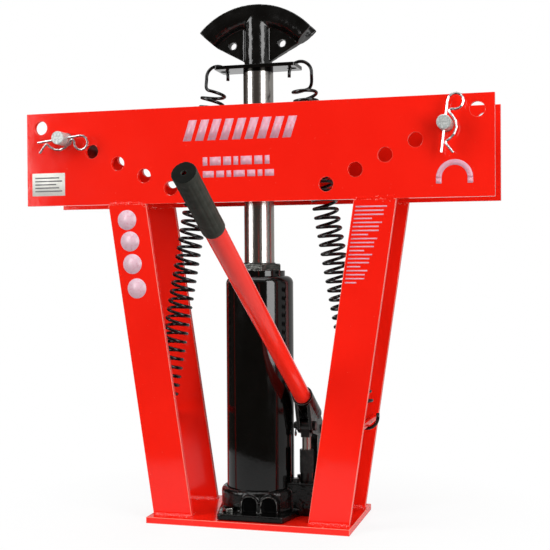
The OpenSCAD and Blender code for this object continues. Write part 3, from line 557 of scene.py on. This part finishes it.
bm = bmesh.new()
bar_pitch = (bars["right"] - bars["left"]) / bars["count"]
for i in range(bars["count"]):
    left = bars["left"] + i * bar_pitch
    bar(bm, left, left + bar_pitch * bars["share"], bars["low"], bars["high"], bars["lean"])
for row, line in enumerate(dash_rows):
    left = line["left"]
    place = row
    while left + dash_least < line["right"]:
        right = min(left + dash_least + dash_more * (place * 2 % dash_lengths), line["right"])
        bar(bm, left, right, line["middle"] - line["height"] / 2, line["middle"] + line["height"] / 2)
        left = right + dash_gap
        place += 1
ends = [bm.verts.new(arch_centre + Vector((r, face_y, 0))) for r in (arch_inner, arch_outer)]
bmesh.ops.spin(bm, geom=ends + [bm.edges.new(ends)], cent=arch_centre + Vector((0, face_y, 0)),
               axis=(0, -1, 0), angle=math.pi, steps=arch_steps)
for side in (-1, 1):
    near, far = sorted((arch_centre.x + side * arch_inner, arch_centre.x + side * arch_outer))
    bar(bm, near, far, arch_centre.z - arch_foot_h, arch_centre.z)
discs = bmesh.new()
for x, z in disc_places:
    bmesh.ops.create_circle(discs, cap_ends=True, segments=disc_sides, radius=disc_r,
                            matrix=on_face(x, z))
for i in range(line_count):
    share = i / (line_count - 1)
    z = line_top + (line_foot - line_top) * share
    up = (z - leg_low.z) / (leg_high.z - leg_low.z)
    left = leg_low.x + (leg_high.x - leg_width - leg_low.x) * up + line_in
    full_length = line_top_len + (line_foot_len - line_top_len) * share
    length = full_length * line_short_shares[i % len(line_short_shares)]
    bar(bm, left, left + length, z - line_h / 2, z + line_h / 2)
pink_ink = printed("pink_ink", ink, ink_thin, ink_roughness)
piece("printed_marks", raised(bm), "frame", pink_ink)
pale_ink = printed("pale_ink", ink_pale, ink, ink_roughness)
piece("printed_discs", raised(discs), "frame", pale_ink)

bm = bmesh.new()
bar(bm, label["left"], label["right"], label["low"], label["high"])
label_paper = printed("label_paper", paper_white, paper_shade, paper_roughness)
piece("paper_label", raised(bm), "frame", label_paper)
bm = bmesh.new()
rule_pitch = (label["high"] - label["low"] - 2 * label_margin) / label_rules
for i in range(label_rules):
    low = label["low"] + label_margin + (i + rule_low_share) * rule_pitch
    right = label["right"] - label_margin - i % rule_lengths * rule_pitch
    bar(bm, label["left"] + label_margin, right, low, low + rule_h_share * rule_pitch)
bmesh.ops.translate(bm, vec=(0, -ink_t, 0), verts=bm.verts)
grey_ink = printed("grey_ink", rule_grey, rule_grey_light, rule_roughness)
piece("label_rules", raised(bm), "frame", grey_ink)


# Reservoir, jack head and gland. The oil tank is a smooth drawn tube under gloss black paint.
# A pressed head closes it, and the gland nut is bare dark steel with scratched flats and worn round corners.
black_gloss = (0.0010, 0.0010, 0.0009, 1)
black_gloss_light = (0.0020, 0.0020, 0.0018, 1)
black_clouds = {"scale": 40, "low": 0.35, "high": 0.7}
black_shine = {"scale": 60, "least": 0.06, "most": 0.11}
black_grain = {"scale": 210, "depth": 0.00002}
jack_black, tree, shader = coat("jack_gloss_black", Specular_IOR_Level=0.5)
tree.links.new(tint(tree, speckle(tree, **black_clouds), black_gloss, black_gloss_light),
               shader.inputs["Base Color"])
uneven_gloss(tree, shader, **black_shine)
dent(tree, shader, **black_grain)
for node in ("reservoir_tube", "jack_head"):
    coated(node, jack_black)

steel_dark = (0.006, 0.006, 0.0058, 1)
steel_light = (0.030, 0.030, 0.028, 1)
steel_edge = (0.16, 0.16, 0.155, 1)
steel_patches = {"scale": 190, "low": 0.45, "high": 0.75, "detail": 4.0}
steel_gloss = {"scale": 160, "least": 0.28, "most": 0.45}
steel_grain = {"scale": 600, "depth": 0.00004}
blackened, tree, shader = coat("blackened_steel", Metallic=0.35)
worn = tint(tree, speckle(tree, **steel_patches), steel_dark, steel_light)
tree.links.new(tint(tree, edge_share(tree), worn, steel_edge), shader.inputs["Base Color"])
uneven_gloss(tree, shader, **steel_gloss)
dent(tree, shader, **steel_grain)

nut_dark = (0.060, 0.062, 0.058, 1)
nut_light = (0.17, 0.17, 0.16, 1)
nut_edge = (0.34, 0.34, 0.32, 1)
nut_scratches = {"scale": 1.0, "low": 0.42, "high": 0.66, "detail": 4.0, "stretch": (170, 170, 900)}
nut_roughness = (0.13, 0.26)
nut_dents = {"scale": 420, "depth": 0.00004, "detail": 3.0}
nut_flats = 6
nut_corner = 0.0046
nut_corner_steps = 8
nut_edge_r = 0.0004
upright_slope = 2
nut_steel, tree, shader = coat("nut_steel", Metallic=1.0)
scratches = speckle(tree, **nut_scratches)
tree.links.new(tint(tree, edge_share(tree), tint(tree, scratches, nut_dark, nut_light), nut_edge),
               shader.inputs["Base Color"])
tree.links.new(between(tree, scratches, *nut_roughness), shader.inputs["Roughness"])
dent(tree, shader, **nut_dents)
bm = merged("gland_nut")
nut_low, nut_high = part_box("gland_nut")
nut_r = (nut_high.x - nut_low.x) / 2 * math.cos(math.pi / nut_flats)
corners = []
for edge in bm.edges:
    low, high = (v.co for v in edge.verts)
    upright = abs(low.z - high.z) > upright_slope * (low.xy - high.xy).length
    if edge.is_manifold and upright and min(low.xy.length, high.xy.length) > nut_r:
        corners.append(edge)
bmesh.ops.bevel(bm, geom=corners, offset=nut_corner, offset_type="OFFSET", segments=nut_corner_steps,
                profile=0.5, affect="EDGES", material=-1, clamp_overlap=True)
round_edges(bm, nut_edge_r)
weigh_normals(piece("gland_nut_worn", bm, "frame", nut_steel, ("gland_nut",)))

rubber_dark = (0.010, 0.010, 0.010, 1)
rubber_light = (0.022, 0.022, 0.021, 1)
rubber_clouds = {"scale": 300, "low": 0.35, "high": 0.7}
rubber_grain = {"scale": 900, "depth": 0.00003}
seal_rubber, tree, shader = coat("seal_rubber", Roughness=0.62)
tree.links.new(tint(tree, speckle(tree, **rubber_clouds), rubber_dark, rubber_light),
               shader.inputs["Base Color"])
dent(tree, shader, **rubber_grain)
for node in ("reservoir_gasket", "oil_filler_plug", "ram_wiper_seal",
             "piston_seal", "plunger_seal", "release_seal"):
    coated(node, seal_rubber)


# Jack base. A heavy iron casting under thick black paint, with lumps and soft edges from the sand mould.
# Its two arched pockets are painted black and dull as shade, behind rims tinted pale as worn paint and
# painted highlight, and three bolts hold it on the base plate.
cast_voxel = 0.0011
cast_passes = 5
cast_lump = 0.00018
cast_lump_size = 160
cast_soften = 0.5
cast_dark = (0.0012, 0.0012, 0.0011, 1)
cast_light = (0.0036, 0.0036, 0.0033, 1)
cast_edge_wear_and_highlight = (0.18, 0.18, 0.17, 1)
cast_clouds = {"scale": 70, "low": 0.35, "high": 0.7}
cast_gloss = {"scale": 90, "least": 0.10, "most": 0.22}
cast_sand = {"scale": 330, "depth": 0.00022, "detail": 3.0}
cast_waves = {"scale": 95, "depth": 0.0006}
casting_black, tree, shader = coat("casting_black", Specular_IOR_Level=0.30)
worn = tint(tree, speckle(tree, **cast_clouds), cast_dark, cast_light)
# Faces marked as edge, on rounded edges and pocket rims, are tinted pale: painted highlight, partly worn
# paint.
tree.links.new(tint(tree, edge_share(tree), worn, cast_edge_wear_and_highlight), shader.inputs["Base Color"])
uneven_gloss(tree, shader, **cast_gloss)
dent(tree, shader, **cast_sand)
dent(tree, shader, **cast_waves)


def cast(node, body, finish, voxel, passes):
    """The node's shape as a casting: skinned afresh, with its edges and corners run soft."""
    rough = piece(node + "_cast", merged(node), body, finish, (node,))
    skin = rough.modifiers.new("skin", "REMESH")
    skin.mode = "VOXEL"
    skin.voxel_size = voxel
    soft = rough.modifiers.new("soft", "SMOOTH")
    soft.iterations = passes
    soft.factor = cast_soften
    skinned = rough.evaluated_get(bpy.context.evaluated_depsgraph_get())
    mesh = bpy.data.meshes.new_from_object(skinned)
    rough.modifiers.clear()
    rough.data = mesh
    bm = bmesh.new()
    bm.from_mesh(mesh)
    for vertex in bm.verts:
        vertex.co += vertex.normal * cast_lump * noise.noise(vertex.co * cast_lump_size)
    for face in bm.faces:
        face.smooth = True
    bm.to_mesh(mesh)
    bm.free()
    return rough


pocket_shade_dark = (0.0006, 0.0006, 0.0006, 1)
pocket_shade_light = (0.0016, 0.0016, 0.0015, 1)
pocket_clouds = {"scale": 90, "low": 0.35, "high": 0.7}
pocket_gloss = {"scale": 200, "least": 0.45, "most": 0.65}
pocket_turn = math.radians(6)
pocket_middles = (-0.00525, 0.01925)
pocket_half_w = 0.0095
pocket_back = -0.0440
pocket_front = -0.0530
pocket_foot = 0.0165
pocket_round_z = 0.0265
pocket_rim = 0.0009
pocket_rim_front = -0.0522
pocket_rim_least = 0.40
pocket_rim_patch = 230
bolt_edge = 0.0006
# The pocket faces get this near-black, barely reflecting finish: painted shade in the recesses.
pocket_painted_shade, tree, shader = coat("pocket_painted_shade", Specular_IOR_Level=0.06)
tree.links.new(tint(tree, speckle(tree, **pocket_clouds), pocket_shade_dark, pocket_shade_light),
               shader.inputs["Base Color"])
uneven_gloss(tree, shader, **pocket_gloss)
dent(tree, shader, **cast_sand)
base = cast("jack_base", "frame", casting_black, cast_voxel, cast_passes)
base.data.materials.append(pocket_painted_shade)
rim = base.data.attributes.new("edge", "FLOAT", "FACE")
turn_back = Matrix.Rotation(-pocket_turn, 3, "Z")
for face in base.data.polygons:
    spot = turn_back @ face.center
    across = min(abs(spot.x - middle) for middle in pocket_middles)
    outside = math.hypot(across, max(0.0, spot.z - pocket_round_z)) - pocket_half_w
    if spot.z < pocket_foot or spot.y > pocket_back:
        continue
    # Faces inside the pockets take the painted-shade finish.
    if outside < 0 and spot.y > pocket_front:
        face.material_index = 1
    # Faces round the pocket mouths are marked pale in patches: painted highlight on the rims, partly worn
    # paint.
    elif abs(outside) < pocket_rim and spot.y < pocket_rim_front:
        patch = noise.noise(spot * pocket_rim_patch)
        rim.data[face.index].value = min(1.0, max(0.0, pocket_rim_least + patch))
eased("jack_bolts", "frame", nut_steel, bolt_edge)


# Ram. A hard-chromed bar, polished round and round, that has picked up fine running marks along its length.
# Its top is painted dark under the spring plate, as painted shadow and reflection of the plate. The cylinder
# and the valve balls are ground steel.
chrome_dark = (0.36, 0.34, 0.32, 1)
chrome_light = (0.52, 0.50, 0.475, 1)
plate_painted_shadow = (0.012, 0.011, 0.010, 1)
plate_shadow_h = 0.0036
plate_shadow_blend = 0.0012
chrome_streaks = {"scale": 1.0, "low": 0.35, "high": 0.68, "detail": 3.0, "stretch": (900, 900, 6)}
chrome_roughness = (0.18, 0.27)
chrome_rings = {"scale": 1.0, "depth": 0.000004, "stretch": (60, 60, 2600)}
shoulder_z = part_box("spring_plate")[0].z


def above(tree, low, high):
    """The share of a finish that starts at one height: 0 below low and 1 above high."""
    place = add(tree, "TexCoord")
    height = add(tree, "SeparateXYZ")
    spread = add(tree, "MapRange", From_Min=low, From_Max=high)
    tree.links.new(place.outputs["Object"], height.inputs[0])
    tree.links.new(height.outputs["Z"], spread.inputs["Value"])
    return spread.outputs["Result"]


chrome, tree, shader = coat("ram_chrome", Metallic=1.0)
streaks = speckle(tree, **chrome_streaks)
# A band at the top of the ram is painted near black: painted shadow and reflection of the spring plate.
plate_shadowed = above(tree, shoulder_z - plate_shadow_h - plate_shadow_blend, shoulder_z - plate_shadow_h)
polished = tint(tree, streaks, chrome_light, chrome_dark)
tree.links.new(tint(tree, plate_shadowed, polished, plate_painted_shadow), shader.inputs["Base Color"])
tree.links.new(between(tree, streaks, *chrome_roughness), shader.inputs["Roughness"])
dent(tree, shader, **chrome_rings)
coated("ram", chrome)

ground_dark = (0.40, 0.385, 0.365, 1)
ground_light = (0.62, 0.60, 0.58, 1)
ground_rings = {"scale": 1.0, "low": 0.3, "high": 0.7, "detail": 3.0, "stretch": (30, 30, 2200)}
ground_roughness = (0.22, 0.36)
ground_steel, tree, shader = coat("ground_steel", Metallic=1.0)
rings = speckle(tree, **ground_rings)
tree.links.new(tint(tree, rings, ground_light, ground_dark), shader.inputs["Base Color"])
tree.links.new(between(tree, rings, *ground_roughness), shader.inputs["Roughness"])
for node in ("cylinder_tube", "suction_ball", "delivery_ball", "release_ball"):
    coated(node, ground_steel)


# Spring plate. A flat bar on the ram's shoulder with a hole near each end, gloss black like the jack.
# The upper hooks of the return springs pass through the holes.
spring_plate_edge = 0.0006
eased("spring_plate", "ram", jack_black, spring_plate_edge)


# Bending former. An iron casting whose half-round rim carries the pipe groove, on a web and a bored boss.
# It is dipped in thick gloss black, which has run and pooled.
former_voxel = 0.0010
former_passes = 6
former_dark = (0.0018, 0.0018, 0.0017, 1)
former_light = (0.0048, 0.0048, 0.0045, 1)
former_clouds = {"scale": 60, "low": 0.35, "high": 0.7}
former_gloss = {"scale": 45, "least": 0.10, "most": 0.22}
former_sand = {"scale": 260, "depth": 0.00010, "detail": 3.0}
former_waves = {"scale": 55, "depth": 0.0005}
former_black, tree, shader = coat("former_black", Specular_IOR_Level=0.55)
tree.links.new(tint(tree, speckle(tree, **former_clouds), former_dark, former_light),
               shader.inputs["Base Color"])
uneven_gloss(tree, shader, **former_gloss)
dent(tree, shader, **former_sand)
dent(tree, shader, **former_waves)
cast("bending_former", "former", former_black, former_voxel, former_passes)


# Return springs. Open-wound extension springs of black wire, stretched while the ram is up.
# Each ends in a long hook: the upper one goes through the spring plate and the lower one round its rod.
wire_r = 0.0021
wire_sides = 12
coil_r = 0.0145
curl_count = 35
hook_r = 0.0145
hook_sink = 0.011
hook_tail = 0.005
hook_top_x = 0.05533
coil_lead = 0.0045
coil_drop = 0.019
coil_back = 0.0085
coil_rise = 0.015
hook_seat = 0.0080
steps_per_curl = 28
hook_steps = 24
lead_steps = 14
plate_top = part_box("spring_plate")[1].z
rod_low, rod_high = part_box("right_spring_rod")
rod = (rod_low + rod_high) / 2
top_hook = Vector((hook_top_x, 0, plate_top - hook_sink))
coil_top = top_hook + Vector((coil_lead, 0, -coil_drop))
coil_foot = rod + Vector((-coil_back, 0, hook_seat + coil_rise))
coil_axis = coil_foot - coil_top
coil_way = coil_axis.normalized()
coil_across = Vector((-coil_way.z, 0, coil_way.x))
low_hook = rod - hook_seat * coil_way

spring_dark = (0.0015, 0.0015, 0.0015, 1)
spring_light = (0.0060, 0.0060, 0.0056, 1)
spring_patches = {"scale": 240, "low": 0.45, "high": 0.75, "detail": 3.0}
spring_gloss = {"scale": 200, "least": 0.12, "most": 0.24}
spring_black, tree, shader = coat("spring_black", Specular_IOR_Level=0.45)
tree.links.new(tint(tree, speckle(tree, **spring_patches), spring_dark, spring_light),
               shader.inputs["Base Color"])
uneven_gloss(tree, shader, **spring_gloss)


def hook(centre, start, end):
    """Points of a hook's bend in the spring's own plane, between two angles in degrees."""
    points = []
    for step in range(hook_steps + 1):
        a = math.radians(start + (end - start) * step / hook_steps)
        points.append(centre + hook_r * Vector((math.cos(a), 0, math.sin(a))))
    return points


def ease(a, a_way, b, b_way):
    """Points of a smooth lead between two points with given headings."""
    points = []
    for step in range(1, lead_steps):
        t = step / lead_steps
        s = 1 - t
        points.append(s * s * (1 + 2 * t) * a + t * t * (1 + 2 * s) * b
                      + s * s * t * a_way - t * t * s * b_way)
    return points


def draw_wire(path, radius, sides):
    """Wire drawn along a path: a ring extruded from point to point, with closed ends."""
    bm = bmesh.new()
    heading = (path[1] - path[0]).normalized()
    start = Matrix.Translation(path[0]) @ heading.to_track_quat("Z", "Y").to_matrix().to_4x4()
    ring = bmesh.ops.create_circle(bm, segments=sides, radius=radius, matrix=start)["verts"]
    bmesh.ops.contextual_create(bm, geom=ring)
    edges = [e for e in bm.edges if e.verts[0] in ring]
    for i in range(1, len(path)):
        onward = (path[min(i + 1, len(path) - 1)] - path[i - 1]).normalized()
        grown = bmesh.ops.extrude_edge_only(bm, edges=edges)["geom"]
        ring = [g for g in grown if isinstance(g, bmesh.types.BMVert)]
        edges = [g for g in grown if isinstance(g, bmesh.types.BMEdge)
                 and g.verts[0] in ring and g.verts[1] in ring]
        turn = heading.rotation_difference(onward).to_matrix()
        bmesh.ops.rotate(bm, cent=path[i - 1], matrix=turn, verts=ring)
        bmesh.ops.translate(bm, vec=path[i] - path[i - 1], verts=ring)
        heading = onward
    bmesh.ops.contextual_create(bm, geom=ring)
    bmesh.ops.recalc_face_normals(bm, faces=bm.faces)
    return bm


coil = []
for step in range(curl_count * steps_per_curl + 1):
    t = step / (curl_count * steps_per_curl)
    a = math.pi / 2 + 2 * math.pi * curl_count * t
    outward = math.cos(a) * coil_across + math.sin(a) * Vector((0, 1, 0))
    coil.append(coil_top + t * coil_axis + coil_r * outward)
upper_bend = [top_hook + Vector((-hook_r, 0, -hook_tail))] + hook(top_hook, 180, 0)
lower_bend = hook(low_hook, 180, 360) + [low_hook + Vector((hook_r, 0, hook_tail))]
lead_in = (coil[0] - upper_bend[-1]).length
lead_out = (lower_bend[0] - coil[-1]).length
spring_path = (upper_bend
               + ease(upper_bend[-1], Vector((0, 0, -lead_in)), coil[0], -lead_in * coil_across)
               + coil
               + ease(coil[-1], -lead_out * coil_across, lower_bend[0], Vector((0, 0, -lead_out)))
               + lower_bend)
for name, turn in (("right_return_spring", 0), ("left_return_spring", 180)):
    bm = draw_wire(spring_path, wire_r, wire_sides)
    bmesh.ops.rotate(bm, cent=(0, 0, 0), matrix=Matrix.Rotation(math.radians(turn), 3, "Z"),
                     verts=bm.verts)
    spring = piece(name + "_wound", bm, "frame", spring_black, (name,))
    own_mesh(spring)


# Pump. A steel barrel screwed into the casting, with its valve plugs and the release screw beside it.
# All of it is blackened, with bright wear on the corners.
pump_edge = 0.0004
for node in ("pump_cylinder", "valve_plugs", "release_valve"):
    body = "release_screw" if node == "release_valve" else "frame"
    eased(node, body, blackened, pump_edge)


# Pump plunger. Its rod is ground bright to run in the barrel, and its forked head is left black
# from the forge. The plunger pin goes through the head.
plunger_head_z = 0.1050
plunger_head_blend = 0.0006
plunger_bright = (0.50, 0.47, 0.43, 1)
plunger_black = (0.004, 0.004, 0.0038, 1)
plunger_grain = {"scale": 500, "depth": 0.00005}
plunger_edge = 0.0004
plunger_steel, tree, shader = coat("plunger_steel", Roughness=0.30)
headward = above(tree, plunger_head_z - plunger_head_blend, plunger_head_z + plunger_head_blend)
tree.links.new(tint(tree, headward, plunger_bright, plunger_black), shader.inputs["Base Color"])
tree.links.new(between(tree, headward, 1.0, 0.0), shader.inputs["Metallic"])
dent(tree, shader, **plunger_grain)
eased("pump_plunger", "plunger", plunger_steel, plunger_edge)


# Pumping lever. A cast socket with two cheeks rocks on the fulcrum pin, and a black link carries that pin.
# The plunger pin has a washer and a zinc-plated split cotter.
zinc_dark = (0.46, 0.47, 0.48, 1)
zinc_light = (0.72, 0.73, 0.74, 1)
zinc_flowers = {"scale": 420, "low": 0.15, "high": 0.75, "pattern": "TexVoronoi"}
zinc_gloss = {"scale": 350, "least": 0.22, "most": 0.38}
zinc_grain = {"scale": 700, "depth": 0.00004}
socket_edge = 0.0007
link_edge = 0.0005
pin_edge = 0.0004
zinc, tree, shader = coat("bright_zinc", Metallic=1.0)
flowers = speckle(tree, **zinc_flowers)
tree.links.new(tint(tree, flowers, zinc_light, zinc_dark), shader.inputs["Base Color"])
uneven_gloss(tree, shader, **zinc_gloss)
dent(tree, shader, **zinc_grain)
# The socket's and link's eased edges take the casting's pale edge tint as painted glints.
eased("handle_socket", "lever", casting_black, socket_edge)
eased("swing_link", "link", casting_black, link_edge)
eased("fulcrum_pin", "lever", blackened, pin_edge)
eased("link_pin", "frame", blackened, pin_edge)
eased("plunger_pin", "plunger", blackened, pin_edge)
coated("plunger_pin_washer", blackened)
coated("plunger_pin_cotter", zinc)


# Handle. A red-painted tube in the socket with a moulded rubber grip on its upper end.
# The grip has long shallow flutes, a rounded rim and a small hole in its end.
tube_red = (0.97, 0.024, 0.011, 1)
tube_red_light = (0.98, 0.030, 0.015, 1)
tube_clouds = {"scale": 30, "low": 0.35, "high": 0.65}
grip_voxel = 0.00055
grip_passes = 4
grip_dark = (0.0390, 0.0410, 0.0340, 1)
grip_light = (0.0520, 0.0540, 0.0460, 1)
grip_end_painted_shade = (0.0040, 0.0048, 0.0036, 1)
grip_end_shade_facing = 0.90
grip_clouds = {"scale": 130, "low": 0.35, "high": 0.7}
grip_gloss = {"scale": 300, "least": 0.45, "most": 0.62}
grip_grain = {"scale": 1200, "depth": 0.00004}
tube_paint, tree, shader = coat("red_handle_paint", Specular_IOR_Level=0.45, Roughness=0.16)
tree.links.new(tint(tree, speckle(tree, **tube_clouds), tube_red, tube_red_light),
               shader.inputs["Base Color"])
coated("handle_tube", tube_paint)
grip_rubber, tree, shader = coat("grip_rubber", Specular_IOR_Level=0.07)
grip_side = tint(tree, speckle(tree, **grip_clouds), grip_dark, grip_light)
tree.links.new(tint(tree, edge_share(tree), grip_side, grip_end_painted_shade), shader.inputs["Base Color"])
uneven_gloss(tree, shader, **grip_gloss)
dent(tree, shader, **grip_grain)
grip = cast("handle_grip", "handle", grip_rubber, grip_voxel, grip_passes)
pull = next(joint for joint in frame["joints"] if joint["name"] == "handle_pull")
grip_way = Vector(pull["axis"]).normalized()
bm = bmesh.new()
bm.from_mesh(grip.data)
mark = bm.faces.layers.float.new("edge")
# Faces pointing along the handle are marked and coloured near black: painted shade on the grip's end face.
for face in bm.faces:
    face[mark] = 1.0 if face.normal.dot(grip_way) > grip_end_shade_facing else 0.0
bm.to_mesh(grip.data)
bm.free()


# Rollers on their pins. The rollers are turned from blackened bar, and the pins are plated dull and mottled.
# A bent wire clip of bright zinc through each pin keeps it in its hole.
pin_dark = (0.34, 0.37, 0.36, 1)
pin_light = (0.66, 0.69, 0.67, 1)
pin_patches = {"scale": 460, "low": 0.35, "high": 0.65, "detail": 3.0}
pin_gloss = {"scale": 350, "least": 0.32, "most": 0.48}
pin_zinc, tree, shader = coat("dull_zinc", Metallic=0.25)
tree.links.new(tint(tree, speckle(tree, **pin_patches), pin_dark, pin_light), shader.inputs["Base Color"])
uneven_gloss(tree, shader, **pin_gloss)
dent(tree, shader, **zinc_grain)
for side in ("left", "right"):
    coated(side + "_roller", blackened)
    coated(side + "_roller_pin", pin_zinc)
    coated(side + "_retaining_clip", zinc)
